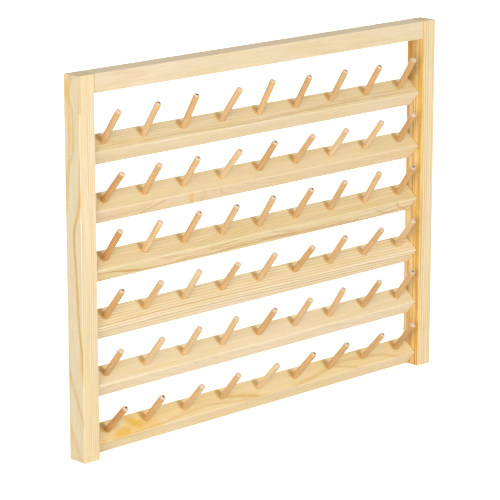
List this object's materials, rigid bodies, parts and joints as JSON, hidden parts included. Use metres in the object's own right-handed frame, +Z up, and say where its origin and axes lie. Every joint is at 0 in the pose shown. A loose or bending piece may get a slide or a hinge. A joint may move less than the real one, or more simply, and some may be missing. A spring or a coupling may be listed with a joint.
{
  "type": "thread rack",
  "caption": "Wall-hung wooden rack for spools of sewing thread: a flat frame crossed by sloping rails that carry rows of round pegs.",
  "frame": {"origin": "mouth of the centre hanging hole, on the wall plane behind the top bar", "axes": "+Y into the wall, +Z up, +X to the right of a viewer who faces the pegs"},
  "size_m": [0.41, 0.0303, 0.3144],
  "materials": {
    "upright_wood": "planed, pale",
    "top_bar_wood": "planed, pale",
    "rail_wood": "planed, yellow",
    "peg_wood": "turned, sanded",
    "dowel_wood": "turned",
    "nail_steel": "bright"
  },
  "bodies": {
    "root": {"left_upright": "upright_wood", "right_upright": "upright_wood", "top_bar": "top_bar_wood", "top_bar_dowels": "dowel_wood", "rail_1": "rail_wood", "rail_1_pegs": "peg_wood", "rail_1_nails": "nail_steel", "rail_2": "rail_wood", "rail_2_pegs": "peg_wood", "rail_2_nails": "nail_steel", "rail_3": "rail_wood", "rail_3_pegs": "peg_wood", "rail_3_nails": "nail_steel", "rail_4": "rail_wood", "rail_4_pegs": "peg_wood", "rail_4_nails": "nail_steel", "rail_5": "rail_wood", "rail_5_pegs": "peg_wood", "rail_5_nails": "nail_steel", "rail_6": "rail_wood", "rail_6_pegs": "peg_wood", "rail_6_nails": "nail_steel"}
  },
  "joints": []
}
